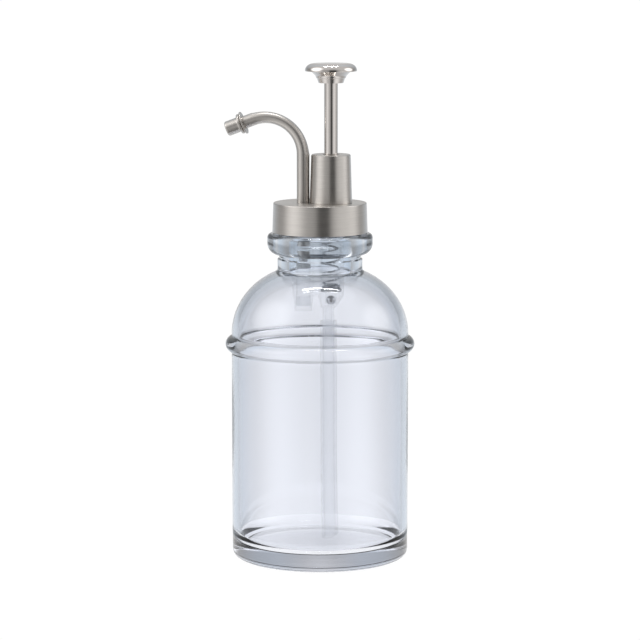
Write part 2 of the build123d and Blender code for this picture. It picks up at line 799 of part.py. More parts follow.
# ================================================================ piston, seal and spring
with BuildPart() as piston_core:
    with BuildSketch(upright(pump_x)):
        Polygon(
            (0, piston_low - piston_boss),
            (spring_core, piston_low - piston_boss),
            (spring_core, piston_low),
            (piston_radius, piston_low),
            (piston_radius, piston_low + piston_disc),
            (piston_waist, piston_low + piston_disc),
            (piston_waist, piston_top - piston_disc),
            (piston_radius, piston_top - piston_disc),
            (piston_radius, piston_top),
            (rod_tail_radius + fit, piston_top),
            (rod_tail_radius + fit, piston_low + rod_tail_end - seat_gap),
            (0, piston_low + rod_tail_end - seat_gap),
            align=None,
        )
    revolve(axis=upright_axis(pump_x))
finish(piston_core, "piston_core")

seal_low = piston_low + piston_disc + seat_gap
seal_top = piston_top - piston_disc - seat_gap
with BuildPart() as piston_seal:
    with BuildSketch(upright(pump_x)):
        Polygon(
            (piston_waist + running, seal_low),
            (piston_waist + seal_heel, seal_low),
            (piston_waist + seal_heel, seal_low + seal_cup),
            (barrel_bore - running - seal_lip, seal_low),
            (barrel_bore - running, seal_low),
            (barrel_bore - running, seal_top),
            (piston_waist + running, seal_top),
            align=None,
        )
    revolve(axis=upright_axis(pump_x))
finish(piston_seal, "piston_seal")

with BuildPart() as return_spring:
    with BuildLine():
        coil = Helix(
            pitch=(spring_top - spring_low - spring_wire) / spring_coils,
            height=spring_top - spring_low - spring_wire,
            radius=spring_radius,
            center=(pump_x, 0, spring_low + spring_wire / 2),
        )
    with BuildSketch(Plane(origin=coil @ 0, z_dir=coil % 0)):
        Circle(spring_wire / 2)
    sweep(path=coil, is_frenet=True)
finish(return_spring, "return_spring")
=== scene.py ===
"""Soap pump dispenser: a moulded glass bottle with a screw lid, fixed spout and push-button pump.

Every new surface is a circle carried along a line, with its centres, directions and radii worked out
as whole arrays. Sizes are in metres, +Z is up and the spout points along -X.
"""

import math

import bpy
import numpy as np
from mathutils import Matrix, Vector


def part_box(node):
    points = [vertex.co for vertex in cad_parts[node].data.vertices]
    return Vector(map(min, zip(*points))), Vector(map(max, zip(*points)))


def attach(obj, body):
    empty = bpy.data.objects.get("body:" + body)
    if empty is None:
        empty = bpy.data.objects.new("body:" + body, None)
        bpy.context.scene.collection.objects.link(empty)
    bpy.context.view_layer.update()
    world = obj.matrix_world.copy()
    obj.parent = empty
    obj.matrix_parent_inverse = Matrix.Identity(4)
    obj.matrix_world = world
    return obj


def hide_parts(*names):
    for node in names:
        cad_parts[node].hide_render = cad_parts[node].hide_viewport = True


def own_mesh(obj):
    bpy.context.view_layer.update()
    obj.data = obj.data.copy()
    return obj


bl_info = {
    "name": "Soap Pump Dispenser",
    "version": (1, 0, 0),
    "blender": (4, 5, 0),
    "location": "3D View > Sidebar > Soap Pump",
    "description": "Builds a glass soap pump dispenser round its packed frame",
    "category": "Add Mesh",
}

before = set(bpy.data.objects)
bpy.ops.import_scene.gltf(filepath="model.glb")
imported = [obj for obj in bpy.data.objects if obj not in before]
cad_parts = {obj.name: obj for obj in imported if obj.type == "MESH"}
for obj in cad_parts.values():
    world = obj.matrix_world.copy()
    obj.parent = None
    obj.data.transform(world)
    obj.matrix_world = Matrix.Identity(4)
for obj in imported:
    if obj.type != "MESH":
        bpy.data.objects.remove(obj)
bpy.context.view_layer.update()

MM = 0.001
UP = np.array([0.0, 0.0, 1.0])
ACROSS = np.array([0.0, 1.0, 0.0])
SEAM = 0.01 * MM
GREY = (0.88, 0.88, 0.88)
BLUISH = (0.88, 0.94, 1.0)


def middle(node):
    """The middle of a node's box."""
    low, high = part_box(node)
    return (low + high) / 2


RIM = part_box("bottle")[1].z
LID_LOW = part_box("cap_shell")[0].z
LID_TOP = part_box("cap_shell")[1].z
LID_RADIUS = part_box("cap_shell")[1].x
PUMP_X = middle("plunger_rod").x
OUTLET_X = middle("spout_lock_ring").x
TOWER_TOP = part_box("tower_sleeve")[1].z


def length(name, millimetres, description):
    """A size that a user may change, given in millimetres and kept in metres."""
    return bpy.props.FloatProperty(
        name=name, description=description, default=millimetres * MM, min=0.0,
        subtype="DISTANCE", unit="LENGTH", precision=5,
    )


def colour(name, red, green, blue, description):
    """A colour that a user may change."""
    return bpy.props.FloatVectorProperty(
        name=name, description=description, default=(red, green, blue, 1.0), size=4,
        subtype="COLOR", min=0.0, max=1.0,
    )


def share(name, value, description, top=1.0):
    """A plain number that a user may change."""
    return bpy.props.FloatProperty(
        name=name, description=description, default=value, min=0.0, max=top,
    )


# ---------------------------------------------------------------- what a user may change
class BottleSizes(bpy.types.PropertyGroup):
    """Sizes and tint of the glass bottle."""

    body_radius: length("Body radius", 36.0, "Outside of the straight glass body")
    wall: length("Wall", 2.8, "Glass thickness of body and shoulder")
    floor: length("Floor", 6.5, "Heavy glass base")
    base_edge: length("Base edge", 3.3, "Rounding of the foot")
    floor_edge: length("Floor edge", 5.0, "Rounding where the floor meets the inner wall")
    bead_level: length("Bead level", 87.9, "Middle of the moulded bead")
    bead_half_height: length("Bead half height", 3.0, "Half of the bead's height")
    bead_proud: length("Bead proud", 2.5, "How far the bead stands out of the body")
    bead_hollow: length("Bead hollow", 1.3, "How far the inner wall follows the bead outward")
    shoulder_level: length("Shoulder level", 92.2, "Where the straight wall turns into the dome")
    shoulder_rise: length("Shoulder rise", 28.1, "Upright half axis of the dome")
    shoulder_centre: length("Shoulder centre", 4.2, "How far the dome's centre lies from the bottle's axis")
    neck_radius: length("Neck radius", 17.24, "Outside of the neck")
    neck_foot_edge: length("Neck foot edge", 1.5, "Rounding where the neck meets the dome")
    neck_height: length("Neck height", 5.3, "Plain neck above the dome")
    groove_depth: length("Groove depth", 0.7, "Small groove between neck and collar")
    groove_bevel: length("Groove bevel", 0.5, "Height of the slope into the groove")
    groove_height: length("Groove height", 1.3, "Height of that groove")
    collar_radius: length("Collar radius", 21.39, "Collar under the lid")
    collar_height: length("Collar height", 8.7, "Collar from its foot to its flat top")
    collar_low_edge: length("Collar lower edge", 4.6, "Rounding under the collar")
    collar_top_edge: length("Collar upper edge", 1.8, "Rounding over the collar")
    thread_root: length("Thread root", 14.99, "Outside of the finish between the thread's ribs")
    thread_depth: length("Thread depth", 1.2, "How far the rib stands out")
    thread_pitch: length("Thread pitch", 4.2, "Rise of the rib in one turn")
    mouth_radius: length("Mouth radius", 12.69, "Inside of the mouth")
    rim_edge: length("Rim edge", 0.5, "Bevel of the rim")
    waviness: length("Waviness", 0.07, "Unevenness of the moulded inner wall")
    rib_flank: length("Rib flank", 0.65, "Height of the slope on each side of the screw rib")
    body_tint: colour("Body tint", 0.93, 0.945, 0.985, "Colour of light that passes the thin wall")
    # The neck tint is darker than the body tint and is laid on between the two levels below. It is painted
    # shade from the lid and the shaded pump inside, and partly the tint of the thicker glass there.
    neck_tint_and_shade: colour("Neck tint", 0.87, 0.92, 0.975, "Colour of light that passes neck and collar")
    neck_shade_levels: bpy.props.FloatVectorProperty(
        name="Thick glass", description="Levels between which the glass grows thick", size=2,
        default=(112 * MM, 121 * MM), subtype="TRANSLATION", unit="LENGTH",
    )
    depth_tint: colour("Depth tint", 0.25, 0.32, 0.60, "Colour that thick glass lets through")
    depth_density: share("Depth density", 2.5, "How strongly thick glass takes up light, per metre", 500.0)


class MetalSizes(bpy.types.PropertyGroup):
    """Sizes and colours of the turned and bent metal pieces."""

    lid_wall: length("Lid wall", 0.8, "Metal skin of the lid")
    lid_draft: length("Lid draft", 0.4, "How much slimmer the lid is at its top")
    lid_edge: length("Lid edge", 0.35, "Rounding of the lid's upper edge")
    tower_draft: length("Tower draft", 0.6, "How much slimmer the tower is at its top")
    tower_wall: length("Tower wall", 2.2, "Wall of the tower at its foot")
    tower_roof: length("Tower roof", 1.3, "Metal over the rod bush")
    tower_edge: length("Tower edge", 0.4, "Bevel of the tower's upper edge")
    spigot_wall: length("Spigot wall", 0.8, "Wall of the tower's spigot through the lid")
    spigot_gap: length("Spigot gap", 0.05, "Clearance round that spigot")
    rod_radius: length("Rod radius", 2.8, "Plunger rod")
    rod_tail: length("Rod tail", 1.75, "Slimmer end of the rod inside the piston")
    rod_edge: length("Rod edge", 0.3, "Bevel of the rod's upper end")
    rod_opening: length("Rod opening", 0.55, "Gap between the rod and the tower's roof")
    button_socket: length("Button socket", 0.05, "Gap between the rod and the button's socket")
    button_foot: length("Button foot", 5.05, "Radius of the button's lower end")
    button_ring: length("Button ring", 5.65, "Radius to the middle of the rounding of the button's ring")
    button_ring_edge: length("Button ring edge", 0.4, "Rounding of that ring")
    button_ring_level: length("Button ring level", 2.2, "That ring above the button's lower end")
    button_waist: length("Button waist", 6.35, "Radius where the flare starts")
    button_waist_rise: length("Button waist rise", 0.7, "Waist above the ring")
    button_flare: length("Button flare", 7.95, "Radius half way up the flare")
    button_flare_rise: length("Button flare rise", 2.3, "Middle of the flare above the ring")
    button_rim_drop: length("Button rim drop", 3.1, "Widest part of the button below its top")
    button_rim_edge: length("Button rim edge", 0.1, "Rounding under the widest part")
    button_dome: length("Button dome", 3.6, "Width of the rounding over the widest part")
    button_dome_rise: length("Button dome rise", 2.95, "Height of that rounding")
    spout_radius: length("Spout radius", 2.6, "Outside of the bent tube")
    spout_wall: length("Spout wall", 0.65, "Wall of the bent tube")
    spout_riser: length("Spout riser", 19.5, "Lid to the start of the bend")
    spout_bend: length("Spout bend", 15.0, "Radius of the bend")
    spout_angle: bpy.props.FloatProperty(
        name="Spout angle", description="Turn of the bend", default=math.radians(111.0),
        subtype="ANGLE", unit="ROTATION",
    )
    spout_tail: length("Spout tail", 9.2, "Straight end of the tube")
    bend_flattening: length("Bend flattening", 0.7, "How much the tube is flattened outside its bend")
    ferrule_radius: length("Ferrule radius", 4.65, "Thin ring behind the nozzle")
    ferrule_start: length("Ferrule start", 4.0, "From the end of the bend")
    ferrule_width: length("Ferrule width", 0.6, "Thickness of that ring")
    nozzle_start: length("Nozzle start", 5.0, "From the end of the bend")
    nozzle_length: length("Nozzle length", 6.7, "Flange and tip together")
    nozzle_radius: length("Nozzle radius", 3.05, "Outside of the tip")
    flange_radius: length("Nozzle flange radius", 4.15, "Outside of the nozzle's flange")
    flange_width: length("Nozzle flange width", 1.1, "Thickness of that flange")
    ferrule_edge: length("Ferrule edge", 0.15, "Rounding of the thin ring")
    flange_edge: length("Nozzle flange edge", 0.35, "Rounding of the nozzle's flange")
    tip_edge: length("Nozzle tip edge", 0.6, "Rounding of the nozzle's end")
    tube_fit: length("Tube fit", 0.05, "Gap between the tube and the rings on it")
    small_bevel: length("Small bevel", 0.1, "Broken edge of turned metal")
    satin: colour("Satin nickel", 0.66, 0.627, 0.592, "Turned satin metal")
    polished: colour("Polished nickel", 0.76, 0.718, 0.685, "Bright metal of rod and button")


class PlasticSizes(bpy.types.PropertyGroup):
    """Colours of the plastic, rubber and steel pieces inside."""

    natural: colour("Natural plastic", 0.90, 0.93, 0.97, "Milky see-through pump plastic")
    white: colour("White plastic", 0.90, 0.91, 0.92, "Liner, bush and cages")
    foam: colour("Foam", 0.80, 0.80, 0.77, "Rim gasket")
    rubber: colour("Rubber", 0.028, 0.028, 0.030, "Seals")
    steel: colour("Steel", 0.62, 0.62, 0.63, "Spring, rings and balls")
    wire_radius: length("Wire radius", 0.35, "Half of the spring wire's thickness")
    spring_turns: share("Spring turns", 11.5, "Turns of the spring", 100.0)
    closed_turns: share("Closed turns", 1.25, "Turns that touch at each end of the spring", 10.0)


class StudioSizes(bpy.types.PropertyGroup):
    """Camera, table top and light."""

    camera_distance: length("Camera distance", 1141.98, "From the bottle's axis, measured level")
    camera_height: length("Camera height", 257.84, "Above the floor")
    camera_azimuth: share("Camera azimuth", 8.0, "Degrees round to the right of the front", 360.0)
    camera_pitch: share("Camera pitch", 7.996, "Degrees downward", 90.0)
    lens: share("Lens", 159.2, "Focal length in millimetres, on a 36 mm wide sensor", 500.0)
    floor_radius: length("Floor radius", 62.0, "Round white table top under the object")
    floor_thickness: length("Floor thickness", 8.0, "Table top")
    floor_gap: length("Floor gap", 0.1, "Air between the bottle's base and the table top")
    back_light: share("Back light", 1.02, "Brightness of the plain background", 10.0)
    sky_light: share("Sky light", 0.66, "Brightness of the ceiling", 10.0)
    glow_light: share("Glow light", 1.6, "Brightness of the two soft boxes", 10.0)
    left_glow: bpy.props.FloatVectorProperty(
        name="Left soft box", size=4, default=(-78.0, 30.0, 8.0, 34.0),
        description="Degrees round from the camera, up, and its inner and outer half widths",
    )
    right_glow: bpy.props.FloatVectorProperty(
        name="Right soft box", size=4, default=(92.0, 22.0, 6.0, 28.0),
        description="Degrees round from the camera, up, and its inner and outer half widths",
    )
    strip_power: share("Strip light", 7.0, "Power of the long lamp overhead, in watts", 1000.0)


# ---------------------------------------------------------------- lines as arrays of (radius, height)
def run(start, end, steps=1):
    """A straight stretch: each point lies the same share further from start to end."""
    part = np.linspace(0.0, 1.0, steps + 1)[:, None]
    return np.asarray(start) * (1.0 - part) + np.asarray(end) * part


def arc(centre, half_width, half_height, start, end, steps=12):
    """Part of an ellipse: centre plus the half axes times the cosine and sine of an angle in degrees."""
    angle = np.radians(np.linspace(start, end, steps + 1))
    return np.stack([centre[0] + half_width * np.cos(angle), centre[1] + half_height * np.sin(angle)], 1)


def rounding(centre, edge, start, end, steps=12):
    """Part of a circle."""
    return arc(centre, edge, edge, start, end, steps)


def outline(start, *stretches):
    """A line from a start, by straight stretches of so many steps, each to a point or to an arc.

    A point where two of them meet is kept once.
    """
    points = np.array([start])
    for steps, goal in zip(stretches[::2], stretches[1::2]):
        goal = np.atleast_2d(goal)
        points = np.vstack([points, run(points[-1], goal[0], steps), goal])
    apart = np.linalg.norm(np.diff(points, axis=0), axis=1)
    return points[np.r_[True, apart > 1e-7]]


# ---------------------------------------------------------------- surfaces
def carried(name, centres, ways, sides, radii, turns=192, closed=False, swell=None):
    """A circle carried along a line.

    Point (i, j) stands at centre i plus radius i times (cosine of angle j along the first cross
    direction + sine of angle j along the second). The second is the given side and the first is side
    x way, so that faces point outward. swell may change the radius as a function of row and angle.
    Rows of no radius become one point, and a closed line joins its last row to its first.
    """
    rows = len(centres)
    angle = np.linspace(0.0, 2 * np.pi, turns, endpoint=False)
    ways = np.broadcast_to(ways, (rows, 3))
    sides = np.broadcast_to(sides, (rows, 3))
    firsts = np.cross(sides, ways)
    reach = np.repeat(radii[:, None], turns, 1)
    if swell is not None:
        reach = reach + swell(np.arange(rows)[:, None], angle[None, :])
    outward = np.cos(angle)[:, None] * firsts[:, None] + np.sin(angle)[:, None] * sides[:, None]
    points = centres[:, None] + reach[..., None] * outward
    steps = np.linalg.norm(np.diff(centres, axis=0), axis=1) ** 2 + np.diff(radii) ** 2
    along = np.r_[0.0, np.cumsum(np.sqrt(steps))]
    grain = np.stack(np.broadcast_arrays(along[:, None], np.cos(angle), np.sin(angle)), 2)
    index = np.arange(rows * turns).reshape(rows, turns)
    poles = radii <= 0.0
    index[poles] = index[poles][:, :1]
    low = np.arange(rows if closed else rows - 1)
    high = (low + 1) % rows
    across = np.arange(turns)
    beside = (across + 1) % turns
    quads = np.stack(
        [index[low][:, across], index[low][:, beside], index[high][:, beside], index[high][:, across]], 2
    )
    turn_low, turn_high = across / turns, (across + 1) / turns
    reach_low, reach_high = along[low], along[low] + np.abs(along[high] - along[low])
    corners = np.stack(
        [
            np.stack(np.broadcast_arrays(turn, height[:, None]), 2)
            for turn, height in (
                (turn_low, reach_low), (turn_high, reach_low),
                (turn_high, reach_high), (turn_low, reach_high),
            )
        ],
        2,
    )
    whole = ~poles[low] & ~poles[high]
    keeps = [
        (whole, [0, 1, 2, 3]),
        (poles[low], [0, 2, 3]),
        (poles[high], [0, 1, 2]),
    ]
    faces = [quads[rows_kept][..., pick].reshape(-1, len(pick)) for rows_kept, pick in keeps]
    uvs = np.vstack([corners[rows_kept][..., pick, :].reshape(-1, 2) for rows_kept, pick in keeps])
    used, places = np.unique(np.concatenate([part.ravel() for part in faces]), return_inverse=True)
    ends = np.cumsum([part.size for part in faces])
    numbered = [part.reshape(face.shape) for part, face in zip(np.split(places, ends[:-1]), faces)]
    mesh = bpy.data.meshes.new(name)
    corner_lists = [corner_list for part in numbered for corner_list in part.tolist()]
    mesh.from_pydata(points.reshape(-1, 3)[used].tolist(), [], corner_lists)
    mesh.uv_layers.new(name="turn").data.foreach_set("uv", uvs.astype(np.float32).ravel())
    mesh.attributes.new("grain", "FLOAT_VECTOR", "POINT").data.foreach_set(
        "vector", grain.reshape(-1, 3)[used].astype(np.float32).ravel()
    )
    mesh.update()
    return mesh


def turned(name, line, axis_x=0.0, turns=192, closed=False, swell=None):
    """A surface of revolution about an upright axis, from a line of (radius, height).

    axis_x is the axis's place, or one place for each row where the circles drift sideways.
    """
    centres = np.stack([np.full(len(line), axis_x), np.zeros(len(line)), line[:, 1]], 1)
    return carried(name, centres, UP, ACROSS, line[:, 0], turns, closed, swell)


def place(mesh, body, materials, replaced=(), sharp=30.0):
    """Put a finished mesh into the scene, on its CAD body, with smooth shading up to a sharp angle."""
    piece = bpy.data.objects.new(mesh.name, mesh)
    bpy.context.scene.collection.objects.link(piece)
    mesh.polygons.foreach_set("use_smooth", np.ones(len(mesh.polygons), bool))
    mesh.set_sharp_from_angle(angle=math.radians(sharp))
    for material in materials:
        mesh.materials.append(material)
    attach(piece, body)
    if replaced:
        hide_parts(*replaced)
    return piece


# ---------------------------------------------------------------- materials
def new_material(name, **values):
    """An empty Principled material and its tree, with constant values set on the shader's own sockets."""
    material = bpy.data.materials.new(name)
    material.use_nodes = True
    shader = material.node_tree.nodes["Principled BSDF"]
    for socket, value in values.items():
        shader.inputs[socket.replace("_", " ")].default_value = value
    return material, material.node_tree, shader


def coordinates(tree, source, scale):
    """Object coordinates or the grain attribute, stretched by a Mapping node."""
    mapping = tree.nodes.new("ShaderNodeMapping")
    mapping.inputs["Scale"].default_value = scale
    if source == "grain":
        reader = tree.nodes.new("ShaderNodeAttribute")
        reader.attribute_name = "grain"
        tree.links.new(reader.outputs["Vector"], mapping.inputs["Vector"])
    else:
        reader = tree.nodes.new("ShaderNodeTexCoord")
        tree.links.new(reader.outputs["Object"], mapping.inputs["Vector"])
    return mapping.outputs["Vector"]


def noise(tree, vector, scale=1.0, detail=3.0, roughness=0.5):
    """A noise pattern, from 0 to 1."""
    node = tree.nodes.new("ShaderNodeTexNoise")
    node.inputs["Scale"].default_value = scale
    node.inputs["Detail"].default_value = detail
    node.inputs["Roughness"].default_value = roughness
    tree.links.new(vector, node.inputs["Vector"])
    return node.outputs["Fac"]


def spread(tree, value, low, high, start=0.3, stop=0.7):
    """A pattern's middle range spread to run from low to high."""
    node = tree.nodes.new("ShaderNodeMapRange")
    for socket, number in (("From Min", start), ("From Max", stop), ("To Min", low), ("To Max", high)):
        node.inputs[socket].default_value = number
    tree.links.new(value, node.inputs["Value"])
    return node.outputs["Result"]


def mixed(tree, factor, first, second):
    """Two colours, mixed by a pattern."""
    node = tree.nodes.new("ShaderNodeMix")
    node.data_type = "RGBA"
    ends = [socket for socket in node.inputs if socket.type == "RGBA"]
    ends[0].default_value = first
    ends[1].default_value = second
    tree.links.new(factor, node.inputs["Factor"])
    return next(socket for socket in node.outputs if socket.type == "RGBA")


def painted(tree, shader, tone, shade, spots, wear, low, high):
    """A tone that one pattern takes down to a darker shade, and a roughness that another sets."""
    dark = (tone[0] * shade, tone[1] * shade, tone[2] * shade, 1.0)
    base = mixed(tree, spread(tree, spots, 0.0, 1.0), dark, tuple(tone))
    tree.links.new(base, shader.inputs["Base Color"])
    tree.links.new(spread(tree, wear, low, high), shader.inputs["Roughness"])


def bump(tree, shader, height, strength, distance):
    """Fine relief on the shader's normal."""
    node = tree.nodes.new("ShaderNodeBump")
    node.inputs["Strength"].default_value = strength
    node.inputs["Distance"].default_value = distance
    tree.links.new(height, node.inputs["Height"])
    tree.links.new(node.outputs["Normal"], shader.inputs["Normal"])


def glass_material(sizes):
    """Clear moulded glass with a faint blue-grey tint that deepens where it is thick, and a darker tint
    over neck and collar. That darker tint is painted shade from the lid and the pump inside, and partly the
    tint of the thicker glass there.
    """
    material, tree, shader = new_material("moulded glass", IOR=1.5, Transmission_Weight=1.0)
    height = tree.nodes.new("ShaderNodeSeparateXYZ")
    tree.links.new(coordinates(tree, "object", (1.0, 1.0, 1.0)), height.inputs["Vector"])
    # Between the two levels the base colour turns to the darker neck tint: painted shade under the lid, and
    # partly the tint of thick glass.
    thick = spread(tree, height.outputs["Z"], 0.0, 1.0, *sizes.neck_shade_levels)
    tint = mixed(tree, thick, tuple(sizes.body_tint), tuple(sizes.neck_tint_and_shade))
    tree.links.new(tint, shader.inputs["Base Color"])
    broad = noise(tree, coordinates(tree, "object", (18.0, 18.0, 30.0)), detail=1.0)
    fine = noise(tree, coordinates(tree, "object", (260.0, 260.0, 260.0)), detail=4.0)
    tree.links.new(spread(tree, fine, 0.0, 0.03, 0.5, 0.8), shader.inputs["Roughness"])
    bump(tree, shader, broad, 0.12, 0.0006)
    absorption = tree.nodes.new("ShaderNodeVolumeAbsorption")
    absorption.inputs["Color"].default_value = tuple(sizes.depth_tint)
    absorption.inputs["Density"].default_value = sizes.depth_density
    tree.links.new(absorption.outputs["Volume"], tree.nodes["Material Output"].inputs["Volume"])
    return material


def satin_material(name, tone, lines, sheen, roughness):
    """Satin nickel with fine tool lines. Light is drawn out across the lines."""
    material, tree, shader = new_material(name, Metallic=1.0, Anisotropic=sheen, Anisotropic_Rotation=0.25)
    tangent = tree.nodes.new("ShaderNodeTangent")
    tangent.direction_type = "UV_MAP"
    tangent.uv_map = "turn"
    tree.links.new(tangent.outputs["Tangent"], shader.inputs["Tangent"])
    tool = noise(tree, coordinates(tree, "grain", lines), detail=4.0, roughness=0.65)
    broad = noise(tree, coordinates(tree, "grain", tuple(size * 0.12 for size in lines)), detail=2.0)
    painted(tree, shader, tone, 0.86, tool, broad, roughness * 0.9, roughness * 1.15)
    bump(tree, shader, tool, 0.08, 0.00001)
    return material


def polished_material(tone):
    """Bright nickel with hairline wear and faint clouding."""
    material, tree, shader = new_material("polished nickel", Metallic=1.0)
    hair = noise(tree, coordinates(tree, "grain", (9000.0, 2.0, 2.0)), detail=3.0)
    cloud = noise(tree, coordinates(tree, "object", (220.0, 220.0, 220.0)), detail=3.0)
    painted(tree, shader, tone, 0.94, cloud, cloud, 0.07, 0.13)
    bump(tree, shader, hair, 0.02, 0.000002)
    return material


def natural_plastic_material(tone):
    """Milky see-through pump plastic with faint flow marks."""
    material, tree, shader = new_material("natural plastic", IOR=1.3, Transmission_Weight=0.9, Alpha=0.12)
    flow = noise(tree, coordinates(tree, "object", (160.0, 160.0, 45.0)), detail=3.0)
    painted(tree, shader, tone, 0.95, flow, flow, 0.28, 0.38)
    bump(tree, shader, flow, 0.08, 0.0003)
    return material


def moulded_material(name, tone, roughness, grain_size, relief):
    """Moulded plastic, foam or rubber: a fine surface grain and slight variation in colour."""
    material, tree, shader = new_material(name)
    grain = noise(tree, coordinates(tree, "object", (1.0 / grain_size,) * 3), detail=4.0, roughness=0.6)
    cloud = noise(tree, coordinates(tree, "object", (90.0, 90.0, 90.0)), detail=2.0)
    painted(tree, shader, tone, 0.93, cloud, grain, roughness - 0.06, roughness + 0.06)
    bump(tree, shader, grain, 0.3, relief)
    return material


def steel_material(name, tone, roughness):
    """Drawn or ground steel with fine scratches."""
    material, tree, shader = new_material(name, Metallic=1.0)
    scratch = noise(tree, coordinates(tree, "object", (900.0, 900.0, 3000.0)), detail=4.0)
    painted(tree, shader, tone, 0.88, scratch, scratch, roughness * 0.8, roughness * 1.3)
    bump(tree, shader, scratch, 0.2, 0.00001)
    return material


def finish_nodes(material, slot, *nodes):
    """Give CAD nodes that stay a better material."""
    for node in nodes:
        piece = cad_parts[node]
        piece.data.materials.clear()
        piece.data.materials.append(material)


# ---------------------------------------------------------------- operators
class SOAP_OT_bottle(bpy.types.Operator):
    """Build the glass bottle with its bead, dome, neck, collar and screw finish"""

    bl_idname = "soap.bottle"
    bl_label = "Glass Bottle"

    def execute(self, context):
        s = context.scene.soap_bottle
        dome = (s.shoulder_centre, s.shoulder_level)
        dome_width = s.body_radius - s.shoulder_centre
        dome_turn = math.degrees(math.acos((s.neck_radius - s.shoulder_centre) / dome_width))
        neck = s.shoulder_level + s.shoulder_rise * math.sin(math.radians(dome_turn))
        groove = neck + s.neck_height
        collar = groove + s.groove_height
        collar_top = collar + s.collar_height
        bead_radius = (s.bead_half_height**2 + s.bead_proud**2) / (2 * s.bead_proud)
        bead_turn = math.degrees(math.asin(s.bead_half_height / bead_radius))
        foot_start, foot_turn, foot_centre = self.neck_foot(dome, dome_width, s.shoulder_rise, s)
        inner = s.body_radius - s.wall
        inner_width, inner_rise = dome_width - s.wall, s.shoulder_rise - s.wall
        mouth_turn = math.degrees(math.acos((s.mouth_radius - s.shoulder_centre) / inner_width))
        bead_reach = 1.4 * s.bead_half_height
        bead_foot = s.bead_level - bead_reach
        low_edge, top_edge = s.collar_low_edge, s.collar_top_edge
        line = outline(
            (0.0, 0.0),
            10, rounding((s.body_radius - s.base_edge, s.base_edge), s.base_edge, -90, 0),
            24, rounding((s.body_radius + s.bead_proud - bead_radius, s.bead_level), bead_radius,
                         -bead_turn, bead_turn, 20),
            1, arc(dome, dome_width, s.shoulder_rise, 0, foot_start, 36),
            1, rounding(foot_centre, s.neck_foot_edge, foot_turn + 180, 180, 10),
            1, (s.neck_radius, foot_centre[1]),
            6, (s.neck_radius, groove - s.groove_bevel),
            3, (s.neck_radius - s.groove_depth, groove),
            2, (s.neck_radius - s.groove_depth, collar),
            2, rounding((s.collar_radius - low_edge, collar + low_edge), low_edge, -90, 0),
            4, rounding((s.collar_radius - top_edge, collar_top - top_edge), top_edge, 0, 90),
            3, (s.thread_root, collar_top),
            44, (s.thread_root, RIM - s.rim_edge),
            2, (s.thread_root - s.rim_edge, RIM),
            2, (s.mouth_radius + s.rim_edge, RIM),
            2, (s.mouth_radius, RIM - s.rim_edge),
            12, arc(dome, inner_width, inner_rise, mouth_turn, 0, 36),
            28, (inner, bead_foot),
            36, rounding((inner - s.floor_edge, s.floor + s.floor_edge), s.floor_edge, 0, -90, 14),
            10, (0.0, s.floor),
        )
        rib_low = collar_top + (RIM - collar_top - s.thread_pitch) / 2
        finish_rows = (np.abs(line[:, 0] - s.thread_root) < 1e-6) & (line[:, 1] > collar_top + 1e-6)
        inner_rows = np.zeros(len(line), bool)
        inner_rows[int(np.argmax(line[:, 1])) + 4:] = True
        # The rib's flat crest in parts of its flank, and how far its ends fade, in radians.
        flat_share, end_fade = 1.7, 0.25

        def swell(row, angle):
            """The screw rib and the inner wall's unevenness.

            The rib's height over the root falls off on both sides of a line that climbs one pitch in a
            turn, and fades at its two ends. The wall swells by a slow sine round and up the bottle, and
            behind the bead by a squared cosine of the height from the bead's middle.
            """
            height = line[:, 1][row]
            rib_middle = rib_low + s.thread_pitch * angle / (2 * np.pi)
            flank = np.clip(flat_share - np.abs(height - rib_middle) / s.rib_flank, 0.0, 1.0)
            ends = np.clip(np.minimum(angle, 2 * np.pi - angle) / end_fade, 0.0, 1.0)
            rib = s.thread_depth * flank * ends * finish_rows[row]
            wave = np.sin(3 * angle + 40 * height) + 0.6 * np.sin(5 * angle - 95 * height + 1.0)
            fade = np.clip(line[:, 0][row] / inner, 0.0, 1.0) ** 2
            over = np.clip((height - s.bead_level) / bead_reach, -1.0, 1.0)
            hollow = s.bead_hollow * np.cos(np.pi / 2 * over) ** 2
            return rib + (0.5 * s.waviness * wave * fade + hollow) * inner_rows[row]

        mesh = turned("glass_bottle", line, turns=256, swell=swell)
        place(mesh, "bottle", [glass_material(s)], ["bottle"])
        return {"FINISHED"}

    def neck_foot(self, dome, width, rise, s):
        """Where a rounding touches both the dome and the neck.

        The rounding's centre lies on the dome moved outward by the rounding's radius, where that curve
        is this radius away from the neck. Gives the dome's angle there, the slope of its normal in
        degrees, and the centre.
        """
        turn = np.radians(np.linspace(40.0, 80.0, 4001))
        normal = np.stack([np.cos(turn) / width, np.sin(turn) / rise], 1)
        normal /= np.linalg.norm(normal, axis=1)[:, None]
        moved = np.stack([dome[0] + width * np.cos(turn), dome[1] + rise * np.sin(turn)], 1)
        moved += s.neck_foot_edge * normal
        best = int(np.argmin(np.abs(moved[:, 0] - s.neck_radius - s.neck_foot_edge)))
        slope = math.degrees(math.atan2(normal[best, 1], normal[best, 0]))
        return math.degrees(turn[best]), slope, tuple(moved[best])


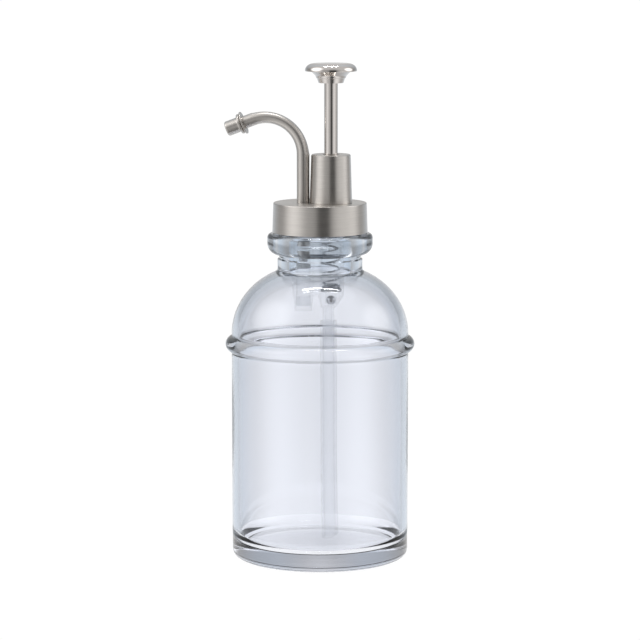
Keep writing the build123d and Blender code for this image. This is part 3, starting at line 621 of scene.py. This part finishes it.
class SOAP_OT_lid(bpy.types.Operator):
    """Build the turned metal lid and the tower that stands on it"""

    bl_idname = "soap.lid"
    bl_label = "Lid and Tower"

    def execute(self, context):
        s = context.scene.soap_metal
        satin = satin_material("turned satin nickel", s.satin, (3000.0, 1.2, 1.2), 0.75, 0.3)
        top = LID_RADIUS - s.lid_draft
        foot = (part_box("tower_sleeve")[1].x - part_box("tower_sleeve")[0].x) / 2
        peak = foot - s.tower_draft
        bore = foot - s.tower_wall
        hole = bore + s.spigot_wall + s.spigot_gap
        hub = hole + PUMP_X + s.lid_wall
        under = LID_TOP - s.lid_wall
        line = outline(
            (hole, under),
            8, (hub, under),
            4, (top - s.lid_wall, under),
            8, (LID_RADIUS - s.lid_wall, LID_LOW),
            2, (LID_RADIUS - s.small_bevel, LID_LOW),
            1, (LID_RADIUS, LID_LOW + s.small_bevel),
            24, rounding((top - s.lid_edge, LID_TOP - s.lid_edge), s.lid_edge, 0, 90, 6),
            12, (hub, LID_TOP),
            8, (hole, LID_TOP),
        )
        # Inside the hub the circles drift from the lid's axis to the tower's, and so the hole fits it.
        drift = PUMP_X * np.clip((hub - line[:, 0]) / (hub - hole), 0.0, 1.0)
        skin = turned("lid_skin", line, drift, turns=256, closed=True)
        place(skin, "lid", [satin], ["cap_shell"])
        spigot_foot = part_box("tower_sleeve")[0].z
        nose = s.rod_radius + s.rod_opening
        spigot = bore + s.spigot_wall
        roof = TOWER_TOP - s.tower_roof
        tower = turned(
            "tower",
            outline(
                (bore, roof),
                6, (bore, spigot_foot),
                1, (spigot, spigot_foot),
                2, (spigot, LID_TOP),
                2, (foot - s.small_bevel, LID_TOP),
                1, (foot, LID_TOP + s.small_bevel),
                24, (peak, TOWER_TOP - s.tower_edge),
                3, (peak - s.tower_edge, TOWER_TOP),
                8, (nose, TOWER_TOP),
                2, (nose, roof),
                2, (bore - SEAM, roof),
            ),
            PUMP_X, turns=192, closed=True,
        )
        place(tower, "lid", [satin], ["tower_sleeve"])
        return {"FINISHED"}


class SOAP_OT_plunger(bpy.types.Operator):
    """Build the polished plunger rod and the button"""

    bl_idname = "soap.plunger"
    bl_label = "Rod and Button"

    def execute(self, context):
        s = context.scene.soap_metal
        bright = polished_material(s.polished)
        low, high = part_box("plunger_rod")
        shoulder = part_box("piston_core")[1].z
        rod = turned(
            "rod",
            outline(
                (0.0, low.z),
                3, (s.rod_tail, low.z),
                4, (s.rod_tail, shoulder),
                2, (s.rod_radius, shoulder),
                30, (s.rod_radius, high.z - s.rod_edge),
                2, (s.rod_radius - s.rod_edge, high.z),
                3, (0.0, high.z),
            ),
            PUMP_X, turns=96,
        )
        place(rod, "plunger", [bright], ["plunger_rod"])
        foot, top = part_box("button")[0].z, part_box("button")[1].z
        radius = (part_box("button")[1].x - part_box("button")[0].x) / 2
        rim = top - s.button_rim_drop
        ring = foot + s.button_ring_level
        socket = high.z + 2 * s.button_socket
        bore = s.rod_radius + s.button_socket
        edge = s.button_rim_edge
        knob = turned(
            "button_knob",
            outline(
                (0.0, socket),
                3, (bore, socket),
                4, (bore, foot),
                3, (s.button_foot, foot),
                4, rounding((s.button_ring, ring), s.button_ring_edge, -90, 0, 6),
                3, (s.button_waist, ring + s.button_waist_rise),
                6, (s.button_flare, ring + s.button_flare_rise),
                6, rounding((radius - edge, rim - edge), edge, -90, 0, 4),
                1, arc((radius - s.button_dome, rim), s.button_dome, s.button_dome_rise, 0, 90, 24),
                10, (0.0, top),
            ),
            PUMP_X, turns=192,
        )
        place(knob, "plunger", [bright], ["button"])
        return {"FINISHED"}


class SOAP_OT_spout(bpy.types.Operator):
    """Build the bent spout tube with its ferrule and nozzle"""

    bl_idname = "soap.spout"
    bl_label = "Spout"

    def execute(self, context):
        s = context.scene.soap_metal
        satin = satin_material("satin tube", s.satin, (60.0, 9.0, 9.0), 0.2, 0.34)
        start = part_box("spout_tube")[0].z
        bend_level = LID_TOP + s.spout_riser
        riser_steps, bend_steps, tail_steps = 24, 48, 8
        turn = np.linspace(0.0, s.spout_angle, bend_steps + 1)
        riser = np.linspace(start, bend_level, riser_steps + 1)[:, None]
        bend_x = OUTLET_X - s.spout_bend * (1 - np.cos(turn))
        bend = np.stack([bend_x, 0 * turn, bend_level + s.spout_bend * np.sin(turn)], 1)
        way = np.array([-math.sin(s.spout_angle), 0.0, math.cos(s.spout_angle)])
        tail = bend[-1] + np.linspace(0.0, s.spout_tail, tail_steps + 1)[1:, None] * way
        line = np.vstack([np.hstack([np.full_like(riser, OUTLET_X), 0 * riser, riser])[:-1], bend, tail])
        turns = np.r_[np.zeros(riser_steps), turn, np.full(tail_steps, s.spout_angle)]
        ways = np.stack([-np.sin(turns), 0 * turns, np.cos(turns)], 1)
        radii = np.full(len(line), s.spout_radius)
        inner = np.full(len(line), s.spout_radius - s.spout_wall)
        bent = np.clip(np.sin(np.pi * turns / s.spout_angle), 0.0, 1.0) ** 0.5
        bent[:riser_steps] = 0.0

        def flatten(row, angle):
            """The wall outside the bend is drawn inward by the squared cosine of the angle from there."""
            facing = np.clip(np.cos(angle), 0.0, 1.0) ** 2
            return -s.bend_flattening * np.r_[bent, bent[::-1]][row] * facing

        tube = carried(
            "bent_tube", np.vstack([line, line[::-1]]), np.vstack([ways, ways[::-1]]), ACROSS,
            np.r_[radii, inner], turns=96, closed=True, swell=flatten,
        )
        place(tube, "lid", [satin], ["spout_tube"])
        ring_finish = satin_material("turned nozzle", s.satin, (4000.0, 1.2, 1.2), 0.5, 0.28)

        def on_tail(name, points):
            """A ring turned about the tube's straight end, from a closed line of (radius, distance)."""
            centres = bend[-1] + points[:, 1:] * way
            mesh = carried(name, centres, way, ACROSS, points[:, 0], 128, closed=True)
            place(mesh, "lid", [ring_finish], ["spout_" + name])

        bore = s.spout_radius + s.tube_fit
        edge = s.ferrule_edge
        start, end = s.ferrule_start, s.ferrule_start + s.ferrule_width
        on_tail("ferrule", outline(
            (bore, start),
            3, rounding((s.ferrule_radius - edge, start + edge), edge, -90, 0, 4),
            1, rounding((s.ferrule_radius - edge, end - edge), edge, 0, 90, 4),
            3, (bore, end),
        ))
        edge, tip_edge = s.flange_edge, s.tip_edge
        start, end = s.nozzle_start, s.nozzle_start + s.nozzle_length
        flange_end = start + s.flange_width
        mouth, socket = s.spout_radius - s.spout_wall, s.spout_tail + s.small_bevel
        on_tail("nozzle", outline(
            (bore, start),
            3, rounding((s.flange_radius - edge, start + edge), edge, -90, 0, 5),
            1, rounding((s.flange_radius - edge, flange_end - edge), edge, 0, 90, 5),
            2, rounding((s.nozzle_radius + edge, flange_end + edge), edge, 270, 180, 4),
            10, rounding((s.nozzle_radius - tip_edge, end - tip_edge), tip_edge, 0, 90, 8),
            2, (mouth + s.small_bevel, end),
            1, (mouth, end - s.small_bevel),
            3, (mouth, socket),
            2, (bore, socket),
            6, (bore, start + SEAM),
        ))
        return {"FINISHED"}


class SOAP_OT_pump(bpy.types.Operator):
    """Finish the pump inside the bottle and wind its spring"""

    bl_idname = "soap.pump"
    bl_label = "Pump and Spring"

    def execute(self, context):
        s = context.scene.soap_plastic
        natural = natural_plastic_material(s.natural)
        white = moulded_material("white plastic", s.white, 0.42, 0.0004, 0.00002)
        foam = moulded_material("closed foam", s.foam, 0.85, 0.00025, 0.0001)
        rubber = moulded_material("seal rubber", s.rubber, 0.5, 0.0003, 0.00002)
        steel = steel_material("drawn steel", s.steel, 0.25)
        ground = steel_material("ground steel", s.steel, 0.09)
        finish_nodes(natural, "natural_plastic", "pump_housing", "outlet_plug", "dip_tube")
        finish_nodes(
            white, "white_plastic", "cap_insert", "guide_bush", "inlet_cage", "outlet_seat", "outlet_cage",
            "piston_core",
        )
        finish_nodes(foam, "seal_foam", "rim_gasket")
        finish_nodes(rubber, "seal_rubber", "rod_wiper", "spout_o_ring", "piston_seal")
        finish_nodes(steel, "spring_steel", "tower_lock_ring", "spout_lock_ring")
        finish_nodes(ground, "ball_steel", "inlet_ball", "outlet_ball")

        low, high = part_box("return_spring")
        wire = s.wire_radius
        coil = (high.x - low.x) / 2 - wire
        turn = np.linspace(0.0, 2 * np.pi * s.spring_turns, round(36 * s.spring_turns) + 1)
        share_up = turn / turn[-1]
        # The pitch is just over the wire's thickness at both ends, and even between them.
        dead = s.closed_turns / s.spring_turns
        closed = 2.1 * wire * s.closed_turns
        rise = high.z - low.z - 2 * wire
        heights = np.interp(share_up, [0.0, dead, 1.0 - dead, 1.0], [0.0, closed, rise - closed, rise])
        radial = np.stack([np.cos(turn), np.sin(turn), 0 * turn], 1)
        centres = np.array([PUMP_X, 0.0, low.z + wire]) + coil * radial + heights[:, None] * UP
        ways = np.gradient(centres, axis=0)
        ways /= np.linalg.norm(ways, axis=1)[:, None]
        sides = radial - (radial * ways).sum(1)[:, None] * ways
        sides /= np.linalg.norm(sides, axis=1)[:, None]
        ends = np.r_[0.0, 1.0, np.ones(len(turn) - 2), 1.0, 0.0]
        centres = np.vstack([centres[:1], centres, centres[-1:]])
        ways = np.vstack([ways[:1], ways, ways[-1:]])
        sides = np.vstack([sides[:1], sides, sides[-1:]])
        mesh = carried("coil_spring", centres, ways, sides, wire * ends, turns=14)
        spring = place(mesh, "lid", [steel], ["return_spring"])
        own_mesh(spring)
        return {"FINISHED"}


class SOAP_OT_stage(bpy.types.Operator):
    """Set up the pale floor, the soft studio light and the camera"""

    bl_idname = "soap.stage"
    bl_label = "Stage"

    def execute(self, context):
        s = context.scene.soap_studio
        scene = context.scene
        scene.view_settings.view_transform = "Standard"
        for name in ("Cube", "Light", "Camera"):
            if name in bpy.data.objects:
                bpy.data.objects.remove(bpy.data.objects[name])
        self.floor(scene, s)
        self.world(scene, s)
        self.strip_light(scene, s)
        camera = bpy.data.objects.new("camera", bpy.data.cameras.new("camera"))
        camera.data.lens = s.lens
        camera.data.sensor_width = 36.0
        azimuth = math.radians(s.camera_azimuth)
        camera.location = (
            math.sin(azimuth) * s.camera_distance, -math.cos(azimuth) * s.camera_distance, s.camera_height
        )
        camera.rotation_euler = (math.radians(90.0 - s.camera_pitch), 0.0, azimuth)
        camera.data.clip_end = 100.0
        scene.collection.objects.link(camera)
        scene.camera = camera
        return {"FINISHED"}

    def floor(self, scene, s):
        """A round white table top, just under the bottle's base."""
        line = outline(
            (0.0, -s.floor_thickness),
            4, (s.floor_radius, -s.floor_thickness),
            1, (s.floor_radius, -s.floor_gap),
            12, (0.0, -s.floor_gap),
        )
        mesh = turned("floor", line, turns=128)
        top = bpy.data.objects.new("floor", mesh)
        scene.collection.objects.link(top)
        material, tree, shader = new_material("pale table", Base_Color=(0.1, 0.1, 0.1, 1.0), Roughness=0.9)
        shader.inputs["Emission Color"].default_value = (1.0, 1.0, 1.0, 1.0)
        shader.inputs["Emission Strength"].default_value = 0.95
        mesh.materials.append(material)

    def world(self, scene, s):
        """The surroundings: a white wall behind the object, grey flags beside it, a dark strip in front.

        Brightness is a function of the way round from the front, times a function of height, plus two
        soft glows that fall off with the angle from their middles. The tint is a function of the way
        round: faintly blue on both sides of the white wall. Seen directly, the backdrop is plain white.
        """
        world = bpy.data.worlds.new("studio")
        scene.world = world
        world.use_nodes = True
        tree = world.node_tree
        tree.nodes.clear()
        reader = tree.nodes.new("ShaderNodeTexCoord")
        spin = tree.nodes.new("ShaderNodeVectorRotate")
        spin.rotation_type = "Z_AXIS"
        spin.inputs["Angle"].default_value = -math.radians(s.camera_azimuth)
        split = tree.nodes.new("ShaderNodeSeparateXYZ")
        tree.links.new(reader.outputs["Generated"], spin.inputs["Vector"])
        tree.links.new(spin.outputs["Vector"], split.inputs["Vector"])
        toward = self.math(tree, "MULTIPLY", split.outputs["Y"], -1.0)
        around = self.math(tree, "ARCTAN2", split.outputs["X"], toward)
        way_round = spread(tree, around, 0.0, 1.0, -math.pi, math.pi)
        ring = self.ramp(tree, way_round, -180, 180, [
            (-180, 1.0), (-177, 0.97), (-173, 0.88), (-166, 0.8), (-150, 0.7), (-118, 0.5), (-98, 0.5),
            (-84, 0.7), (-68, 0.98), (-52, 0.98), (-34, 0.62), (-12, 0.5), (-3, 0.1), (21, 0.08),
            (28, 0.5), (41, 0.84), (52, 0.98), (68, 0.94), (84, 0.68), (98, 0.5), (118, 0.5), (150, 0.7),
            (166, 0.8), (173, 0.88), (177, 0.97), (180, 1.0),
        ])
        tint = self.ramp(tree, way_round, -180, 180, [
            (-180, GREY), (-174, GREY), (-160, BLUISH), (-145, BLUISH), (-120, GREY),
            (120, GREY), (145, BLUISH), (160, BLUISH), (174, GREY), (180, GREY),
        ])
        lift = self.ramp(tree, spread(tree, split.outputs["Z"], 0.0, 1.0, -1.0, 1.0), -1, 1, [
            (-1.0, 1.0), (-0.195, 1.0), (-0.15, 0.95), (-0.05, 0.92), (0.06, 0.66), (0.2, 0.6),
            (0.5, 0.66), (1.0, 0.66),
        ])
        high = spread(tree, split.outputs["Z"], 0.0, 1.0, 0.3, 0.8)
        light = self.math(tree, "MULTIPLY", ring, lift)
        light = self.blend(tree, high, light, s.sky_light)
        light = self.math(tree, "MULTIPLY", light, 1.0 / GREY[0])
        for way in (s.left_glow, s.right_glow):
            glow = self.glow(tree, spin.outputs["Vector"], way, s.glow_light)
            light = self.math(tree, "ADD", light, glow)
        surroundings = tree.nodes.new("ShaderNodeBackground")
        tree.links.new(tint, surroundings.inputs["Color"])
        tree.links.new(light, surroundings.inputs["Strength"])
        plain = tree.nodes.new("ShaderNodeBackground")
        plain.inputs["Color"].default_value = (1.0, 1.0, 1.0, 1.0)
        plain.inputs["Strength"].default_value = s.back_light
        rays = tree.nodes.new("ShaderNodeLightPath")
        blend = tree.nodes.new("ShaderNodeMixShader")
        out = tree.nodes.new("ShaderNodeOutputWorld")
        tree.links.new(rays.outputs["Is Camera Ray"], blend.inputs["Fac"])
        tree.links.new(surroundings.outputs["Background"], blend.inputs[1])
        tree.links.new(plain.outputs["Background"], blend.inputs[2])
        tree.links.new(blend.outputs["Shader"], out.inputs["Surface"])

    def math(self, tree, operation, first, second):
        """One Math node. The second value may be a number."""
        node = tree.nodes.new("ShaderNodeMath")
        node.operation = operation
        tree.links.new(first, node.inputs[0])
        if isinstance(second, float):
            node.inputs[1].default_value = second
        else:
            tree.links.new(second, node.inputs[1])
        return node.outputs["Value"]

    def blend(self, tree, factor, first, level):
        """first + factor x (level - first)."""
        gap = self.math(tree, "MULTIPLY_ADD", first, -1.0)
        gap.node.inputs[2].default_value = level
        return self.math(tree, "ADD", first, self.math(tree, "MULTIPLY", gap, factor))

    def ramp(self, tree, value, low, high, stops):
        """A row of colours at places from low to high. A plain number is a grey level."""
        node = tree.nodes.new("ShaderNodeValToRGB")
        points = node.color_ramp.elements
        for k, (stop, tone) in enumerate(stops):
            along = (stop - low) / (high - low)
            point = points[k] if k < 2 else points.new(along)
            point.position = along
            point.color = (*np.broadcast_to(tone, 3), 1.0)
        tree.links.new(value, node.inputs["Fac"])
        return node.outputs["Color"]

    def glow(self, tree, vector, way, strength):
        """A soft glow: its strength times a smooth step of the cosine of the angle from its middle."""
        around, up, inside, outside = (math.radians(degrees) for degrees in way)
        dot = tree.nodes.new("ShaderNodeVectorMath")
        dot.operation = "DOT_PRODUCT"
        dot.inputs[1].default_value = (
            math.sin(around) * math.cos(up), -math.cos(around) * math.cos(up), math.sin(up)
        )
        tree.links.new(vector, dot.inputs[0])
        step = tree.nodes.new("ShaderNodeMapRange")
        step.interpolation_type = "SMOOTHSTEP"
        step.inputs["From Min"].default_value = math.cos(outside)
        step.inputs["From Max"].default_value = math.cos(inside)
        step.inputs["To Max"].default_value = strength
        tree.links.new(dot.outputs["Value"], step.inputs["Value"])
        return step.outputs["Result"]

    def strip_light(self, scene, s):
        """A long narrow lamp overhead, aimed at the object's foot."""
        stand = np.array([-0.03, 0.235, 1.8])
        aim = np.array([0.0, 0.0, 0.1]) - stand
        lamp = bpy.data.lights.new("strip_light", "AREA")
        lamp.shape = "RECTANGLE"
        lamp.size, lamp.size_y = 0.9, 0.07
        lamp.energy = s.strip_power
        box = bpy.data.objects.new("strip_light", lamp)
        scene.collection.objects.link(box)
        box.location = stand
        box.rotation_euler = (
            math.atan2(math.hypot(aim[0], aim[1]), -aim[2]), 0.0, math.atan2(-aim[0], aim[1])
        )


class SOAP_PT_panel(bpy.types.Panel):
    """The pieces of the dispenser, one button each"""

    bl_idname = "SOAP_PT_panel"
    bl_label = "Soap Pump Dispenser"
    bl_space_type = "VIEW_3D"
    bl_region_type = "UI"
    bl_category = "Soap Pump"

    def draw(self, context):
        for operator in OPERATORS:
            self.layout.operator(operator.bl_idname)


SETTINGS = {
    "soap_bottle": BottleSizes,
    "soap_metal": MetalSizes,
    "soap_plastic": PlasticSizes,
    "soap_studio": StudioSizes,
}
OPERATORS = (SOAP_OT_stage, SOAP_OT_bottle, SOAP_OT_lid, SOAP_OT_plunger, SOAP_OT_spout, SOAP_OT_pump)
CLASSES = (*SETTINGS.values(), *OPERATORS, SOAP_PT_panel)


def register():
    for item in CLASSES:
        bpy.utils.register_class(item)
    for name, group in SETTINGS.items():
        setattr(bpy.types.Scene, name, bpy.props.PointerProperty(type=group))


def unregister():
    for name in SETTINGS:
        delattr(bpy.types.Scene, name)
    for item in reversed(CLASSES):
        bpy.utils.unregister_class(item)


def main():
    """Build every piece."""
    register()
    bpy.ops.soap.stage()
    bpy.ops.soap.bottle()
    bpy.ops.soap.lid()
    bpy.ops.soap.plunger()
    bpy.ops.soap.spout()
    bpy.ops.soap.pump()


if __name__ == "__main__":
    main()
